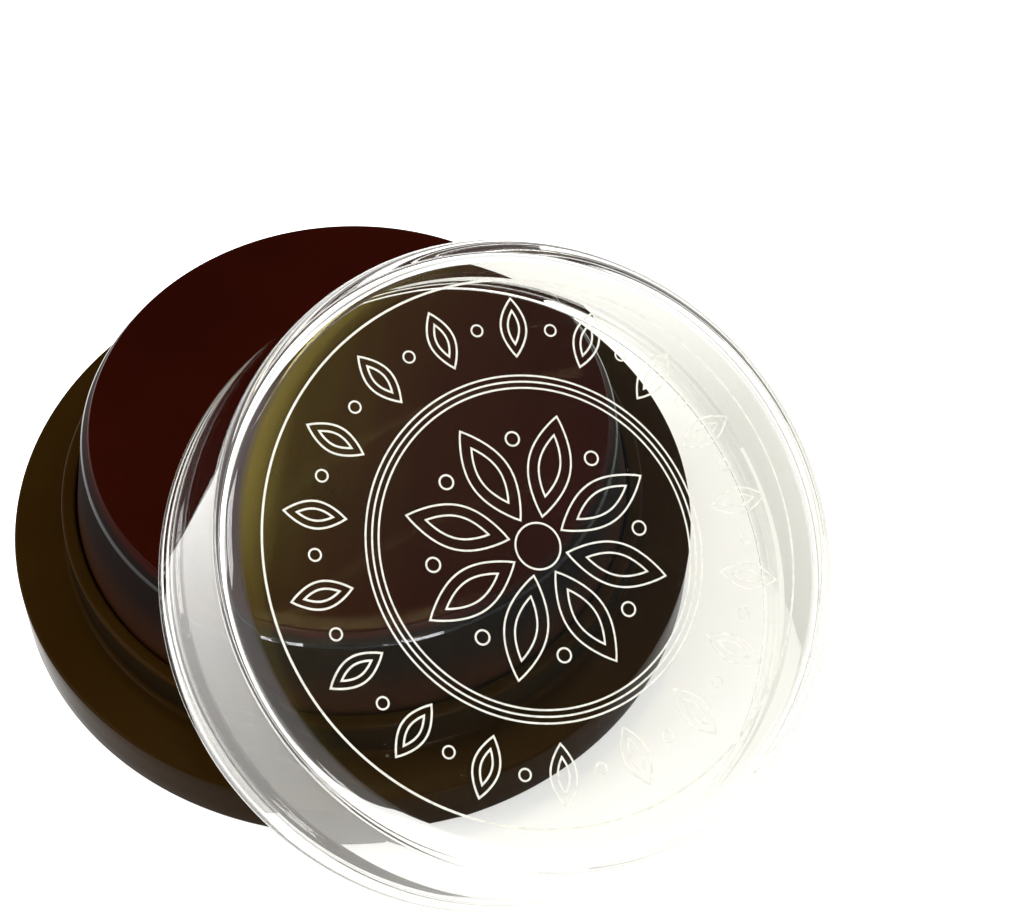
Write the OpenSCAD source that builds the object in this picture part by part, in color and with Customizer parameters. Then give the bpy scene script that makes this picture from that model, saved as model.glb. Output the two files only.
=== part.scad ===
// Round cake of bow rosin in a two-part case: a thick turned base that
// holds the cake in a shallow socket, and a deep clear cup lid. The lid is
// off. It leans on the cake with its rim on the table, open side inward.
//
// Origin: centre of the underside of the base, on the table. +Z is up.
// All lengths are in millimetres, all angles in degrees.

/* [Base] */
// Diameter of the thick flange at the foot of the base
flange_d = 65; // [62:0.5:70]
// Height of the flange
flange_h = 6; // [5:0.1:8]
// Radius on the upper edge of the flange
flange_edge = 0.3; // [0.2:0.1:1.2]
// Radius on the lower edge of the flange
foot_edge = 0.4; // [0.2:0.1:1]
// Diameter of the boss that the lid fits over
boss_d = 55; // [54:0.1:55.4]
// Height of the boss above the flange
boss_h = 4.5; // [3.5:0.1:5]
// Radius on the two edges of the lip around the socket
lip_edge = 0.3; // [0.1:0.05:0.5]
// Radius of the fillet where the boss meets the flange
boss_fillet = 0.5; // [0.2:0.1:0.5]
// Height of the socket floor above the underside
socket_floor = 3.6; // [2.5:0.1:4.5]
// Diameter of the socket
socket_d = 52.3; // [51.5:0.1:52.5]

/* [Rosin cake] */
// Gap between the cake and the wall of the socket
cake_gap = 0.05; // [0.02:0.01:0.2]
// Height of the shoulder where the taper of the cake starts
cake_shoulder = 9.4; // [8:0.1:10]
// Diameter at the lower edge of the top bevel
cake_bevel_d = 49.2; // [46:0.1:49.2]
// Height of the lower edge of the top bevel
cake_bevel_z = 18.75; // [17:0.05:18.75]
// Diameter of the flat top of the cake
cake_top_d = 47.4; // [44:0.1:47.4]
// Height of the flat top above the table
cake_top_z = 20.3; // [19.2:0.05:20.3]

/* [Lid] */
// Outer diameter of the rim
rim_d = 58; // [57.6:0.1:58.4]
// Bore of the rim
rim_bore_d = 56.2; // [55.8:0.1:56.3]
// Small bevel on both edges of the rim
rim_bevel = 0.25; // [0.1:0.05:0.35]
// Depth of the nearly straight part of the bore, which passes the boss
register_depth = 5.2; // [5:0.1:6]
// Bore at the end of that part
register_d = 55.6; // [55.5:0.1:55.7]
// Height of the sloped step above it, where the wall gets thicker
register_step = 0.4; // [0.3:0.1:0.8]
// Bore just above the step
wall_bore_d = 54.4; // [54:0.1:54.8]
// Outer height, from the rim to the face
lid_h = 17.8; // [17.4:0.1:19]
// Outer diameter just under the rounded edge of the face
face_d = 54.9; // [54.4:0.1:55.4]
// Outer radius of the rounded edge of the face
face_edge = 1.9; // [1.2:0.1:2.4]
// Thickness of the face
face_t = 1.6; // [1.2:0.1:1.8]
// Inner diameter at the ceiling
ceiling_d = 52.4; // [52:0.1:52.8]
// Inner radius between the wall and the ceiling
ceiling_edge = 1.1; // [0.6:0.1:1.6]

/* [Engraved rings] */
// Depth of the ring grooves in the ceiling
ring_depth = 0.25; // [0.1:0.05:0.4]
// Width of a ring groove
ring_w = 0.22; // [0.15:0.01:0.4]
// Mean diameter of the single outer ring
outer_ring_d = 47; // [44:0.5:48]
// Mean diameter of the largest of the three inner rings
inner_ring_d = 29.8; // [26:0.2:34]
// Spacing of the inner rings, as a radius
inner_ring_step = 0.55; // [0.45:0.05:0.8]

/* [Lid resting place] */
// Tilt of the lid from level
lid_tilt = 27.3; // [27.2:0.1:30]
// Direction the lid leans towards, turned from -Y towards +X
lid_azimuth = 42.3; // [0:0.1:359.9]
// Distance from the axis of the base to the centre of the rim
lid_reach = 18.53; // [18.53:0.01:19.5]

/* [Hidden] */
round_fn = 160;
flange_r = flange_d / 2;
boss_r = boss_d / 2;
boss_top = flange_h + boss_h;
socket_r = socket_d / 2;
cake_r = socket_r - cake_gap;
rim_r = rim_d / 2;
face_r = face_d / 2;
ceiling_z = lid_h - face_t;
ceiling_r = ceiling_d / 2;
// The lowest edge of the tilted rim touches the table.
rim_z = (rim_r - rim_bevel) * sin(lid_tilt);
ring_radii = [outer_ring_d / 2,
              inner_ring_d / 2,
              inner_ring_d / 2 - inner_ring_step,
              inner_ring_d / 2 - 2 * inner_ring_step];

// Points of an arc about [cx, cy], from angle a0 to angle a1 in n steps.
function arc(cx, cy, r, a0, a1, n = 6) =
    [for (i = [0:n]) let (a = a0 + (a1 - a0) * i / n)
        [cx + r * cos(a), cy + r * sin(a)]];

// Outline of one groove cut up into the ceiling at radius r, inner side last.
function groove(r) =
    [[r + ring_w / 2, ceiling_z],
     [r + ring_w / 2 - 0.04, ceiling_z + ring_depth],
     [r - ring_w / 2 + 0.04, ceiling_z + ring_depth],
     [r - ring_w / 2, ceiling_z]];

// The base is one turned piece: flange, boss and socket. The rim of the lid
// sits on the flat of the flange, around the boss.
module holder_base() {
    color([0.155, 0.11, 0.055])
    rotate_extrude($fn = round_fn)
    polygon(concat(
        [[0, 0]],
        arc(flange_r - foot_edge, foot_edge, foot_edge, -90, 0, 4),
        arc(flange_r - flange_edge, flange_h - flange_edge, flange_edge, 0, 90, 5),
        arc(boss_r + boss_fillet, flange_h + boss_fillet, boss_fillet, -90, -180, 4),
        arc(boss_r - lip_edge, boss_top - lip_edge, lip_edge, 0, 90, 4),
        arc(socket_r + lip_edge, boss_top - lip_edge, lip_edge, 90, 180, 4),
        [[socket_r, socket_floor], [0, socket_floor]]
    ));
}

// The cake stands in the socket and tapers up to a narrow bevel.
module rosin_cake() {
    color([0.2, 0.03, 0.018])
    rotate_extrude($fn = round_fn)
    polygon([
        [0, socket_floor],
        [cake_r, socket_floor],
        [cake_r, cake_shoulder],
        [cake_bevel_d / 2, cake_bevel_z],
        [cake_top_d / 2, cake_top_z],
        [0, cake_top_z]
    ]);
}

// Cross-section of the lid about its own axis, with the rim at height 0.
module lid_section() {
    polygon(concat(
        [[rim_bore_d / 2 + rim_bevel, 0], [rim_r - rim_bevel, 0],
         [rim_r, rim_bevel]],
        arc(face_r - face_edge, lid_h - face_edge, face_edge, 4, 90, 8),
        [[0, lid_h], [0, ceiling_z]],
        [for (i = [3:-1:0]) let (g = groove(ring_radii[i]))
            for (k = [3:-1:0]) g[k]],
        arc(ceiling_r - ceiling_edge, ceiling_z - ceiling_edge, ceiling_edge, 90, 4, 5),
        [[wall_bore_d / 2, register_depth + register_step],
         [register_d / 2, register_depth],
         [rim_bore_d / 2, rim_bevel]]
    ));
}

// The lid leans over: turned down towards its azimuth, rim on the table.
module lid_shell() {
    color([0.9, 0.92, 0.92, 0.35])
    translate([lid_reach * sin(lid_azimuth), -lid_reach * cos(lid_azimuth), rim_z])
    rotate([0, 0, lid_azimuth])
    rotate([lid_tilt, 0, 0])
    rotate_extrude($fn = round_fn) lid_section();
}

holder_base();
rosin_cake();
lid_shell();
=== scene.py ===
import bpy, bmesh, math
import numpy as np
from mathutils import Matrix, Vector


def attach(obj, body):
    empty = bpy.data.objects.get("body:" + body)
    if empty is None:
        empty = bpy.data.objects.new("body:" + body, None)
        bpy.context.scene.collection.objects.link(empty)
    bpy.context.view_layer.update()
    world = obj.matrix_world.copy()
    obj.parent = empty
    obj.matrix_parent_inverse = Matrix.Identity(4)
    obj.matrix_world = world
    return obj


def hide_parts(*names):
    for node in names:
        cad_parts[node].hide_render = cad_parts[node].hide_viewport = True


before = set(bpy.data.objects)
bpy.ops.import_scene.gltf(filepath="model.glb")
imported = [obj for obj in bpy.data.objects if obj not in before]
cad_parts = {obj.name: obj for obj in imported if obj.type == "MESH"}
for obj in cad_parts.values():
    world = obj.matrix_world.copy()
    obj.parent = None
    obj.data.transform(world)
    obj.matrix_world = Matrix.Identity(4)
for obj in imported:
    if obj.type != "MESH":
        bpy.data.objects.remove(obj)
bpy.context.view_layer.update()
MM = 0.001

# ---------------------------------------------------------------- camera
PITCH, ROLL = math.radians(52.68), math.radians(-2.417)
f = Vector((0, math.cos(PITCH), -math.sin(PITCH)))
r = Vector((1, 0, 0))
d = Vector((0, -math.sin(PITCH), -math.cos(PITCH)))
r2 = math.cos(ROLL) * r + math.sin(ROLL) * d
d2 = -math.sin(ROLL) * r + math.cos(ROLL) * d
cam_data = bpy.data.cameras.new("Camera")
cam = bpy.data.objects.new("Camera", cam_data)
bpy.context.scene.collection.objects.link(cam)
cam_data.sensor_width = 36.0
cam_data.lens = 77.04
cam_data.clip_start = 0.01
cam_data.clip_end = 20.0
m = Matrix((r2, -d2, -f)).transposed().to_4x4()
m.translation = Vector((15.324, -125.194, 178.867)) * MM
cam.matrix_world = m
bpy.context.scene.camera = cam

# ---------------------------------------------------------------- helpers
def new_object(name, verts, faces, smooth=True):
    me = bpy.data.meshes.new(name)
    me.from_pydata([tuple(v) for v in verts], [], faces)
    me.validate()
    if smooth:
        me.polygons.foreach_set("use_smooth", [True] * len(me.polygons))
    me.update()
    ob = bpy.data.objects.new(name, me)
    bpy.context.scene.collection.objects.link(ob)
    return ob


def arc(cx, cy, rad, a0, a1, n):
    return [(cx + rad * math.cos(math.radians(a0 + (a1 - a0) * i / n)),
             cy + rad * math.sin(math.radians(a0 + (a1 - a0) * i / n))) for i in range(n + 1)]


def dense(pts, step):
    """The same outline, with points no further apart than step on its straight runs."""
    out = []
    for a, b in zip(pts[:-1], pts[1:]):
        k = max(1, int(math.ceil(math.hypot(b[0] - a[0], b[1] - a[1]) / step)))
        out += [(a[0] + (b[0] - a[0]) * i / k, a[1] + (b[1] - a[1]) * i / k) for i in range(k)]
    return out + [pts[-1]]


def lathe(name, profile, seg, matrix=None, wobble=None):
    """A closed solid of revolution. profile runs from the axis, round the outside, back to the axis, in mm, outward side on the right."""
    verts, faces, rings = [], [], []
    for (rad, z) in profile:
        if rad < 1e-6:
            rings.append([len(verts)])
            verts.append(Vector((0, 0, z)))
            continue
        ring = []
        for k in range(seg):
            t = 2 * math.pi * k / seg
            rr, zz = (rad, z) if wobble is None else wobble(rad, z, t)
            ring.append(len(verts))
            verts.append(Vector((rr * math.cos(t), rr * math.sin(t), zz)))
        rings.append(ring)
    for a, b in zip(rings[:-1], rings[1:]):
        if len(a) == 1 and len(b) == 1:
            continue
        for k in range(seg):
            k2 = (k + 1) % seg
            if len(a) == 1:
                faces.append((a[0], b[k2], b[k]))
            elif len(b) == 1:
                faces.append((a[k], a[k2], b[0]))
            else:
                faces.append((a[k], a[k2], b[k2], b[k]))
    if len(rings[0]) > 1 and len(rings[-1]) > 1:
        a, b = rings[-1], rings[0]
        for k in range(seg):
            k2 = (k + 1) % seg
            faces.append((a[k], a[k2], b[k2], b[k]))
    vv = [(matrix @ v if matrix is not None else v) * MM for v in verts]
    return new_object(name, vv, faces)


# ---------------------------------------------------------------- node material helpers
class Mat:
    def __init__(self, name):
        self.m = bpy.data.materials.new(name)
        self.m.use_nodes = True
        self.nt = self.m.node_tree
        self.nt.nodes.clear()
        self.out = self.add("ShaderNodeOutputMaterial")

    def add(self, kind, **props):
        n = self.nt.nodes.new(kind)
        for k, v in props.items():
            setattr(n, k, v)
        return n

    def link(self, a, b):
        self.nt.links.new(a, b)

    def coords(self, scale=(1, 1, 1)):
        tc = self.add("ShaderNodeTexCoord")
        mp = self.add("ShaderNodeMapping")
        mp.inputs["Scale"].default_value = scale
        self.link(tc.outputs["Object"], mp.inputs["Vector"])
        return mp.outputs["Vector"]

    def noise(self, vec, scale, detail=4, rough=0.55):
        n = self.add("ShaderNodeTexNoise")
        n.inputs["Scale"].default_value = scale
        n.inputs["Detail"].default_value = detail
        n.inputs["Roughness"].default_value = rough
        self.link(vec, n.inputs["Vector"])
        return n.outputs["Fac"]

    def ramp(self, fac, stops):
        n = self.add("ShaderNodeValToRGB")
        e = n.color_ramp.elements
        while len(e) > 1:
            e.remove(e[-1])
        e[0].position, e[0].color = stops[0][0], (*stops[0][1], 1) if len(stops[0][1]) == 3 else stops[0][1]
        for p, c in stops[1:]:
            q = e.new(p)
            q.color = (*c, 1)
        self.link(fac, n.inputs["Fac"])
        return n.outputs["Color"]

    def maprange(self, v, a, b, c, dd):
        n = self.add("ShaderNodeMapRange")
        n.clamp = True
        for i, x in enumerate((a, b, c, dd)):
            n.inputs[i + 1].default_value = x
        self.link(v, n.inputs[0])
        return n.outputs[0]

    def mixrgb(self, fac, a, b, mode="MIX"):
        n = self.add("ShaderNodeMix", data_type="RGBA", blend_type=mode)
        for s, v in ((0, fac), (6, a), (7, b)):
            if isinstance(v, (int, float)):
                n.inputs[s].default_value = v
            elif isinstance(v, tuple):
                n.inputs[s].default_value = (*v, 1) if len(v) == 3 else v
            else:
                self.link(v, n.inputs[s])
        return n.outputs[2]

    def math(self, op, a, b=None, clamp=False):
        n = self.add("ShaderNodeMath", operation=op)
        n.use_clamp = clamp
        for i, v in enumerate((a, b)):
            if v is None:
                continue
            if isinstance(v, (int, float)):
                n.inputs[i].default_value = v
            else:
                self.link(v, n.inputs[i])
        return n.outputs[0]

    def bump(self, h, strength, distance):
        n = self.add("ShaderNodeBump")
        n.inputs["Strength"].default_value = strength
        n.inputs["Distance"].default_value = distance
        self.link(h, n.inputs["Height"])
        return n.outputs["Normal"]


# ---------------------------------------------------------------- materials
def base_material():
    M = Mat("base_plastic")
    b = M.add("ShaderNodeBsdfPrincipled")
    v = M.coords()
    cloud = M.noise(v, 60, 3)
    col = M.ramp(cloud, [(0.3, (0.0150, 0.0068, 0.0010)), (0.7, (0.0200, 0.0092, 0.0015))])
    # fine dust specks
    specks = M.add("ShaderNodeTexVoronoi", feature="F1")
    specks.inputs["Scale"].default_value = 420
    M.link(v, specks.inputs["Vector"])
    near = M.maprange(specks.outputs["Distance"], 0.045, 0.09, 1, 0)
    pick = M.noise(v, 130, 2)
    some = M.maprange(pick, 0.62, 0.66, 0, 1)
    dust = M.math("MULTIPLY", near, some)
    col = M.mixrgb(dust, col, (0.30, 0.27, 0.22))
    # painted shade: the upright wall of the boss is coloured darker than the level faces, and it is also rougher
    sep = M.add("ShaderNodeSeparateXYZ")
    M.link(v, sep.inputs[0])
    wall = M.math("MULTIPLY", M.maprange(sep.outputs["Z"], 0.0064, 0.0068, 0, 1), M.maprange(sep.outputs["Z"], 0.0098, 0.0101, 1, 0))
    # painted shade on the boss wall: its colour is pulled three quarters of the way to near black
    col = M.mixrgb(M.math("MULTIPLY", wall, 0.75), col, (0.006, 0.0035, 0.0015))
    M.link(col, b.inputs["Base Color"])
    ro = M.noise(v, 260, 4)
    ro = M.math("ADD", M.maprange(ro, 0.3, 0.7, 0.14, 0.22), M.math("MULTIPLY", dust, 0.5))
    M.link(M.math("ADD", ro, M.math("MULTIPLY", wall, 0.5), clamp=True), b.inputs["Roughness"])
    b.inputs["IOR"].default_value = 1.49
    b.inputs["Specular IOR Level"].default_value = 0.01
    M.link(M.bump(M.noise(v, 900, 3), 0.03, 0.0001), b.inputs["Normal"])
    M.link(b.outputs[0], M.out.inputs[0])
    return M.m


def rosin_material():
    M = Mat("rosin")
    b = M.add("ShaderNodeBsdfPrincipled")
    v = M.coords()
    cloud = M.noise(v, 45, 3)
    col = M.ramp(cloud, [(0.3, (0.0140, 0.0018, 0.0008)), (0.7, (0.0200, 0.0025, 0.0013))])
    specks = M.add("ShaderNodeTexVoronoi", feature="F1")
    specks.inputs["Scale"].default_value = 520
    M.link(v, specks.inputs["Vector"])
    near = M.maprange(specks.outputs["Distance"], 0.04, 0.08, 1, 0)
    some = M.maprange(M.noise(v, 170, 2), 0.66, 0.7, 0, 1)
    dust = M.math("MULTIPLY", near, some)
    sep = M.add("ShaderNodeSeparateXYZ")
    M.link(v, sep.inputs[0])
    flank = M.mixrgb(M.maprange(sep.outputs["Z"], 0.0100, 0.0160, 0, 1), (0.0200, 0.0055, 0.0008), (0.0045, 0.0018, 0.0012))
    col = M.mixrgb(M.maprange(sep.outputs["Z"], 0.01940, 0.01970, 0, 1), flank, col)
    col = M.mixrgb(M.math("MULTIPLY", dust, 0.6), col, (0.25, 0.21, 0.17))
    # the narrow glassy facet at the foot of the bevel only mirrors what is round it
    facet = M.math("MULTIPLY", M.maprange(sep.outputs["Z"], 0.01867, 0.01871, 0, 1), M.maprange(sep.outputs["Z"], 0.01893, 0.01897, 1, 0))
    M.link(M.mixrgb(facet, col, (0.026, 0.026, 0.028)), b.inputs["Base Color"])
    M.link(facet, b.inputs["Metallic"])
    # dull flank, crisp lower edge of the bevel, satin bevel, glassy top
    high = M.maprange(sep.outputs["Z"], 0.0180, 0.0210, 0, 1)
    finish = M.ramp(high, [(0.15, (0.85,) * 3), (0.20, (0.02,) * 3), (0.32, (0.02,) * 3), (0.36, (0.6,) * 3),
                           (0.64, (0.6,) * 3), (0.69, (0.05,) * 3)])
    ro = M.math("MULTIPLY", M.maprange(M.noise(v, 220, 4), 0.3, 0.7, 0.0, 0.06), M.maprange(high, 0.66, 0.69, 0, 1))
    M.link(M.math("ADD", finish, ro, clamp=True), b.inputs["Roughness"])
    b.inputs["IOR"].default_value = 1.52
    b.inputs["Specular IOR Level"].default_value = 0.025
    M.link(M.bump(M.noise(v, 160, 3), 0.04, 0.0002), b.inputs["Normal"])
    M.link(b.outputs[0], M.out.inputs[0])
    return M.m


def acrylic_material():
    M = Mat("clear_acrylic")
    b = M.add("ShaderNodeBsdfPrincipled")
    b.inputs["Base Color"].default_value = (0.985, 0.987, 0.968, 1)
    b.inputs["Transmission Weight"].default_value = 1.0
    b.inputs["IOR"].default_value = 1.49
    v = M.coords()
    hair = M.noise(v, 700, 3)
    M.link(M.maprange(hair, 0.55, 0.75, 0.0, 0.012), b.inputs["Roughness"])
    t = M.add("ShaderNodeBsdfTransparent")
    t.inputs["Color"].default_value = (0.985, 0.985, 0.98, 1)
    lp = M.add("ShaderNodeLightPath")
    soft = M.add("ShaderNodeMixShader")
    M.link(lp.outputs["Is Diffuse Ray"], soft.inputs[0])
    M.link(b.outputs[0], soft.inputs[1])
    M.link(t.outputs[0], soft.inputs[2])
    mx = M.add("ShaderNodeMixShader")
    M.link(lp.outputs["Is Shadow Ray"], mx.inputs[0])
    M.link(soft.outputs[0], mx.inputs[1])
    M.link(t.outputs[0], mx.inputs[2])
    M.link(mx.outputs[0], M.out.inputs[0])
    return M.m


def engraving_material():
    M = Mat("engraving_frost")
    b = M.add("ShaderNodeBsdfPrincipled")
    v = M.coords()
    n = M.noise(v, 1800, 3)
    M.link(M.ramp(n, [(0.3, (0.70, 0.70, 0.69)), (0.7, (0.93, 0.94, 0.94))]), b.inputs["Base Color"])
    b.inputs["Roughness"].default_value = 0.55
    b.inputs["Specular IOR Level"].default_value = 0.3
    M.link(b.outputs[0], M.out.inputs[0])
    return M.m


MAT_BASE, MAT_ROSIN, MAT_LID, MAT_FROST = base_material(), rosin_material(), acrylic_material(), engraving_material()

# ---------------------------------------------------------------- base
SEG = 288
base_profile = dense(
    [(0, 0)] + arc(32.5 - 0.4, 0.4, 0.4, -90, 0, 6) + arc(32.5 - 0.3, 6 - 0.3, 0.3, 0, 90, 6)
    + arc(27.5 + 0.5, 6 + 0.5, 0.5, -90, -180, 8)
    + arc(27.5 - 0.35, 10.5 - 0.35, 0.35, 0, 90, 8) + arc(26.15 + 0.3, 10.2, 0.3, 90, 180, 6)
    + [(26.15, 3.75)] + arc(26.15 - 0.12, 3.6 + 0.12, 0.12, 0, -90, 2) + [(0, 3.6)], 2.5)
base = lathe("holder_base_finish", base_profile, SEG)
base.data.materials.append(MAT_BASE)
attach(base, "base"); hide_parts("holder_base")

# ---------------------------------------------------------------- cake
def round_corner(p0, p1, p2, rad, n):
    """Points of a fillet of about that radius at p1."""
    a = np.array(p0, float) - p1; b = np.array(p2, float) - p1
    la, lb = np.linalg.norm(a), np.linalg.norm(b)
    a, b = a / la, b / lb
    half = math.acos(max(-1, min(1, float(a @ b)))) / 2
    t = min(rad / math.tan(half), la * 0.45, lb * 0.45)
    rr = t * math.tan(half)
    c = np.array(p1) + (a + b) / np.linalg.norm(a + b) * (rr / math.sin(half))
    s, e = np.array(p1) + a * t - c, np.array(p1) + b * t - c
    a0, a1 = math.atan2(s[1], s[0]), math.atan2(e[1], e[0])
    da = (a1 - a0 + math.pi) % (2 * math.pi) - math.pi
    return [(float(c[0] + rr * math.cos(a0 + da * i / n)), float(c[1] + rr * math.sin(a0 + da * i / n))) for i in range(n + 1)]


ROLL_R, ROLL_A = 21.6, math.radians(6)                # the cast top falls away a little before its bevel
roll_rad = (23.68 - ROLL_R) / math.sin(ROLL_A)
roll = [(ROLL_R + roll_rad * math.sin(ROLL_A * i / 10), 20.3 - roll_rad * (1 - math.cos(ROLL_A * i / 10))) for i in range(11)]
roll.reverse()
ck = [(0, 3.6), (26.1, 3.6), (26.1, 9.4), (24.604, 18.69), (24.461, 18.93), roll[0], roll[1]]
glint = [(ck[3][0] + (ck[4][0] - ck[3][0]) * t, ck[3][1] + (ck[4][1] - ck[3][1]) * t) for t in (0.2, 0.4, 0.6, 0.8)]
cake_profile = [ck[0]] + round_corner(ck[0], ck[1], ck[2], 0.15, 2) + round_corner(ck[1], ck[2], ck[3], 0.6, 4) \
    + round_corner(ck[2], ck[3], ck[4], 0.12, 3) + glint + round_corner(ck[3], ck[4], ck[5], 0.12, 2) \
    + round_corner(ck[4], ck[5], ck[6], 0.12, 4) + roll[1:] + [(0, 20.3)]
cake = lathe("rosin_cake_finish", dense(cake_profile, 1.2), SEG)
cake.data.materials.append(MAT_ROSIN)
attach(cake, "base"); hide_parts("rosin_cake")

# ---------------------------------------------------------------- lid
TILT, AZ, REACH = math.radians(27.3), math.radians(42.3), 18.53
LID = Matrix.Translation(Vector((REACH * math.sin(AZ), -REACH * math.cos(AZ), 28.75 * math.sin(TILT)))) \
    @ Matrix.Rotation(AZ, 4, "Z") @ Matrix.Rotation(TILT, 4, "X")
outer = arc(28.65, 0.35, 0.35, -90, -4, 6) + arc(27.45 - 1.9, 17.8 - 1.9, 1.9, 4, 90, 18) + [(0, 17.8)]
inner = [(0, 16.2)] + arc(26.2 - 1.1, 16.2 - 1.1, 1.1, 90, 6, 12) + [(27.2, 5.6), (27.8, 5.2), (28.1, 0.3)] + arc(28.35, 0.27, 0.25, 180, 270, 5)
lid_profile = dense(inner, 1.5) + dense(outer, 1.5)
lid = lathe("lid_shell_finish", lid_profile, SEG, LID)
lid.data.materials.append(MAT_LID)
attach(lid, "lid"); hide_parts("lid_shell")

# ---------------------------------------------------------------- engraved lines on the ceiling of the lid
def ribbon(paths, width, depth, z, name):
    """Thin low-relief lines that follow flat paths, as one mesh. paths: [(points, closed)] in mm."""
    verts, faces = [], []
    prof = [(-0.5, 0.0), (-0.28, -1.0), (0.28, -1.0), (0.5, 0.0)]
    for pts, closed in paths:
        p = np.array(pts, float)
        n = len(p)
        nxt = np.roll(p, -1, 0); prv = np.roll(p, 1, 0)
        if not closed:
            nxt[-1] = p[-1] * 2 - p[-2]; prv[0] = p[0] * 2 - p[1]
        t1 = (nxt - p); t0 = (p - prv)
        t1 /= np.linalg.norm(t1, axis=1)[:, None] + 1e-12
        t0 /= np.linalg.norm(t0, axis=1)[:, None] + 1e-12
        t = t0 + t1
        t /= np.linalg.norm(t, axis=1)[:, None] + 1e-12
        nn = np.c_[-t[:, 1], t[:, 0]]
        co = np.clip((t * t1).sum(1), 0.45, 1)
        first = len(verts)
        for i in range(n):
            for (u, w) in prof:
                q = p[i] + nn[i] * (u * width / co[i])
                verts.append(LID @ Vector((q[0], q[1], z + w * depth)) * MM)
        m = len(prof)
        last = n if closed else n - 1
        for i in range(last):
            j = (i + 1) % n
            for k in range(m):
                k2 = (k + 1) % m
                faces.append((first + i * m + k, first + j * m + k, first + j * m + k2, first + i * m + k2))
        if not closed:
            faces.append(tuple(first + k for k in range(m)))
            faces.append(tuple(first + (n - 1) * m + k for k in reversed(range(m))))
    ob = new_object(name, verts, faces, smooth=False)
    bm = bmesh.new(); bm.from_mesh(ob.data)
    bmesh.ops.recalc_face_normals(bm, faces=bm.faces)
    bm.to_mesh(ob.data); bm.free()
    ob.data.materials.append(MAT_FROST)
    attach(ob, "lid")
    return ob


def circle(rad, n=180, cx=0, cy=0):
    return [(cx + rad * math.cos(2 * math.pi * k / n), cy + rad * math.sin(2 * math.pi * k / n)) for k in range(n)]


CEIL = 16.185
ribbon([(circle(23.5, 240), True)], 0.2, 0.05, CEIL, "engraved_outer_ring")
ribbon([(circle(q), True) for q in (14.9, 14.35, 13.8)], 0.17, 0.05, CEIL, "engraved_inner_rings")


def lens(r0, r1, half, ang, n=14):
    """A pointed leaf between radius r0 and r1 at angle ang."""
    pts = []
    for i in range(n + 1):
        s = i / n
        pts.append((r0 + (r1 - r0) * s, half * math.sin(math.pi * s) ** 0.9))
    for i in range(1, n):
        s = 1 - i / n
        pts.append((r0 + (r1 - r0) * s, -half * math.sin(math.pi * s) ** 0.9))
    c, s_ = math.cos(ang), math.sin(ang)
    return [(x * c - y * s_, x * s_ + y * c) for x, y in pts]


band, dots = [], []
N_BAND = 18
for k in range(N_BAND):
    a = 2 * math.pi * k / N_BAND
    band.append((lens(16.6, 21.8, 1.15, a), True))
    band.append((lens(17.7, 20.7, 0.5, a, 10), True))
    b_ = a + math.pi / N_BAND
    dots.append((circle(0.5, 20, 19.2 * math.cos(b_), 19.2 * math.sin(b_)), True))
ribbon(band, 0.18, 0.05, CEIL, "engraved_leaf_band")
ribbon(dots, 0.16, 0.05, CEIL, "engraved_dots")
petals = []
for k in range(8):
    a = 2 * math.pi * k / 8
    petals.append((lens(2.6, 11.6, 1.9, a, 20), True))
    petals.append((lens(4.4, 9.9, 0.95, a, 16), True))
    b_ = a + math.pi / 8
    petals.append((circle(0.6, 24, 9.4 * math.cos(b_), 9.4 * math.sin(b_)), True))
petals.append((circle(2.0, 48), True))
ribbon(petals, 0.17, 0.05, CEIL, "engraved_rosette")

# ---------------------------------------------------------------- floor, world and lights
floor = new_object("studio_floor", [(-3, -3, 0), (3, -3, 0), (3, 3, 0), (-3, 3, 0)], [(0, 1, 2, 3)], smooth=False)
fm = Mat("floor_white")
fb = fm.add("ShaderNodeBsdfPrincipled")
fb.inputs["Base Color"].default_value = (0.45, 0.45, 0.45, 1)
fb.inputs["Emission Color"].default_value = (1.0, 1.0, 0.995, 1)
# painted light: a band of the floor to the left and behind glows brighter, standing in for light from a window
fdot = fm.add("ShaderNodeVectorMath", operation="DOT_PRODUCT")
fm.link(fm.coords(), fdot.inputs[0])
fdot.inputs[1].default_value = (-0.8, 0.6, 0.0)
painted_light_band = fm.maprange(fdot.outputs["Value"], -0.020, 0.036, 0, 0.95)
painted_light_band = fm.math("MULTIPLY", painted_light_band, fm.maprange(fdot.outputs["Value"], 0.12, 0.30, 1, 0))
# the painted light band is added to the floor's even glow
fm.link(fm.math("ADD", painted_light_band, 0.58), fb.inputs["Emission Strength"])
fb.inputs["Roughness"].default_value = 0.9
fb.inputs["Specular IOR Level"].default_value = 0.0
fm.link(fb.outputs[0], fm.out.inputs[0])
floor.data.materials.append(fm.m)
floor.location.z = -0.00002

world = bpy.data.worlds.new("studio")
world.use_nodes = True
bpy.context.scene.world = world
wt = world.node_tree
bg = wt.nodes["Background"]


def wmath(op, a, b=None, c=None):
    n = wt.nodes.new("ShaderNodeMath")
    n.operation = op
    for i, v in enumerate((a, b, c)):
        if v is None:
            continue
        if isinstance(v, (int, float)):
            n.inputs[i].default_value = v
        else:
            wt.links.new(v, n.inputs[i])
    return n.outputs[0]


def wrange(v, a, b, c, dd, smooth=True):
    n = wt.nodes.new("ShaderNodeMapRange")
    n.interpolation_type = "SMOOTHSTEP" if smooth else "LINEAR"
    for i, x in enumerate((a, b, c, dd)):
        n.inputs[i + 1].default_value = x
    wt.links.new(v, n.inputs[0])
    return n.outputs[0]


def wlobe(direction, inner, outer):
    """1 within inner degrees of a direction, falling to 0 at outer degrees."""
    n = wt.nodes.new("ShaderNodeVectorMath")
    n.operation = "DOT_PRODUCT"
    wt.links.new(wc.outputs["Generated"], n.inputs[0])
    n.inputs[1].default_value = Vector(direction).normalized()
    return wrange(n.outputs["Value"], math.cos(math.radians(outer)), math.cos(math.radians(inner)), 0, 1)


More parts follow.
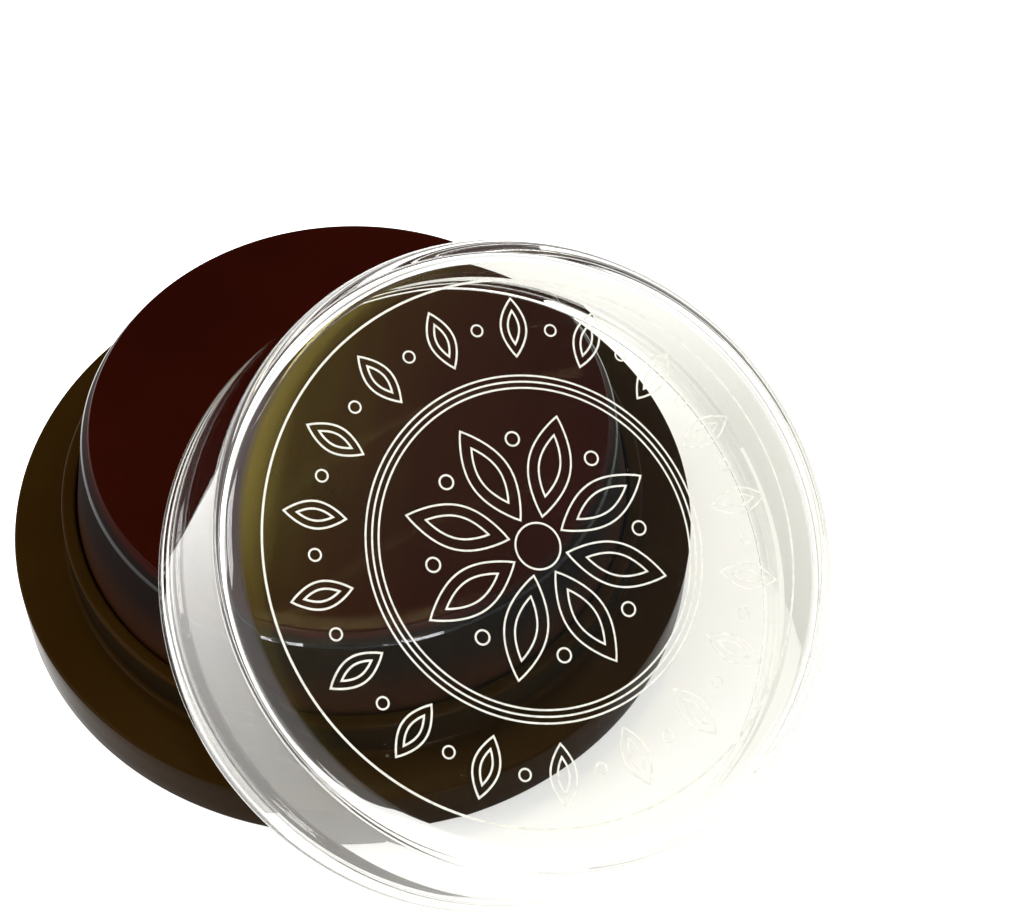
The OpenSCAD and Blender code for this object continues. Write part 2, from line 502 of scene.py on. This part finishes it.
def wadd(colours):
    """Sum of (factor, colour) pairs as one colour."""
    total = None
    for fac, col in colours:
        n = wt.nodes.new("ShaderNodeVectorMath")
        n.operation = "SCALE"
        if isinstance(col, tuple):
            n.inputs[0].default_value = col
        else:
            wt.links.new(col, n.inputs[0])
        wt.links.new(fac, n.inputs["Scale"])
        if total is None:
            total = n.outputs[0]
        else:
            m_ = wt.nodes.new("ShaderNodeVectorMath")
            m_.operation = "ADD"
            wt.links.new(total, m_.inputs[0])
            wt.links.new(n.outputs[0], m_.inputs[1])
            total = m_.outputs[0]
    return total


wc = wt.nodes.new("ShaderNodeTexCoord")
ws = wt.nodes.new("ShaderNodeSeparateXYZ")
wt.links.new(wc.outputs["Generated"], ws.inputs[0])
def wone(v):
    return wmath("SUBTRACT", 1.0, v)


one = wmath("ADD", wmath("MULTIPLY", ws.outputs[2], 0.0), 1.0)
flats = wlobe((-0.14, 0.61, 0.78), 13.0, 25.0)         # dark part of the room that the level tops mirror
face = wlobe((0.575, -0.05, 0.815), 10.0, 20.0)        # dark part that the face of the lid mirrors
open_ = wmath("MULTIPLY", wone(flats), wone(face))
streak_map = wt.nodes.new("ShaderNodeMapping")
streak_map.inputs["Scale"].default_value = (70.0, 10.0, 10.0)
wt.links.new(wc.outputs["Generated"], streak_map.inputs["Vector"])
streak = wt.nodes.new("ShaderNodeTexNoise")
streak.inputs["Scale"].default_value = 1.0
streak.inputs["Detail"].default_value = 3.0
wt.links.new(streak_map.outputs["Vector"], streak.inputs["Vector"])
across = wmath("ADD", ws.outputs[0], wmath("MULTIPLY", wmath("SUBTRACT", streak.outputs["Fac"], 0.5), 0.040))
panel = wt.nodes.new("ShaderNodeValToRGB")              # warm panel that the left of the lid's face mirrors
pe = panel.color_ramp.elements
while len(pe) > 1:
    pe.remove(pe[-1])
PANEL = [(0.44, (2.0, 1.75, 0.42)), (0.46, (1.5, 1.35, 0.33)), (0.470, (0.92, 0.87, 0.23)), (0.480, (0.43, 0.46, 0.13)),
         (0.507, (0.22, 0.23, 0.11)), (0.533, (0.11, 0.135, 0.088)), (0.62, (0.008, 0.04, 0.062))]
for i, (px_, c_) in enumerate(PANEL):
    q_ = pe[0] if i == 0 else pe.new((px_ - 0.44) / 0.2)
    if i == 0:
        q_.position = 0.0
    q_.color = (c_[0] / 2, c_[1] / 2, c_[2] / 2, 1)
wt.links.new(wrange(across, 0.44, 0.64, 0, 1, smooth=False), panel.inputs["Fac"])
face_y = wmath("MULTIPLY", face, wrange(ws.outputs[1], -0.16, -0.04, 0.22, 1.0))
warm = wlobe((-0.05, 0.36, 0.93), 3.0, 9.0)            # warm lamp above, seen along the near edge of the cake
light_sum = wadd([(open_, (1.0, 1.0, 1.01)), (one, (0.008, 0.008, 0.008)), (wmath("MULTIPLY", face_y, 2.0), panel.outputs["Color"]),
                  (warm, (22.0, 19.0, 9.0))])
wt.links.new(light_sum, bg.inputs[0])
bg.inputs[1].default_value = 1.0


def area(name, loc, target, size, power, color=(1, 1, 1)):
    l = bpy.data.lights.new(name, "AREA")
    l.shape = "RECTANGLE"
    l.size, l.size_y = size
    l.energy = power
    l.color = color
    o = bpy.data.objects.new(name, l)
    bpy.context.scene.collection.objects.link(o)
    o.location = loc
    o.rotation_mode = "QUATERNION"
    o.rotation_quaternion = (Vector(target) - Vector(loc)).to_track_quat("-Z", "Y")
    return o


area("key_left", (-0.85, -0.10, 0.75), (0, 0, 0), (0.45, 0.45), 7)
for nm, x_, wide, watts in (("glint_right", 0.41, 0.34, 16), ("glint_left", -0.335, 0.24, 12)):
    strip = area(nm, (x_, -0.90, 0.10), (0, 0, 0.0187), (wide, 0.18), watts)
    strip.visible_diffuse = False                      # seen in polished edges only

sc = bpy.context.scene
sc.cycles.max_bounces = 32
sc.cycles.glossy_bounces = 24
sc.cycles.transmission_bounces = 32
sc.cycles.transparent_max_bounces = 32
sc.view_settings.view_transform = "Standard"
sc.view_settings.look = "None"
sc.view_settings.exposure = 0.0
sc.view_settings.gamma = 1.0

bpy.context.view_layer.update()
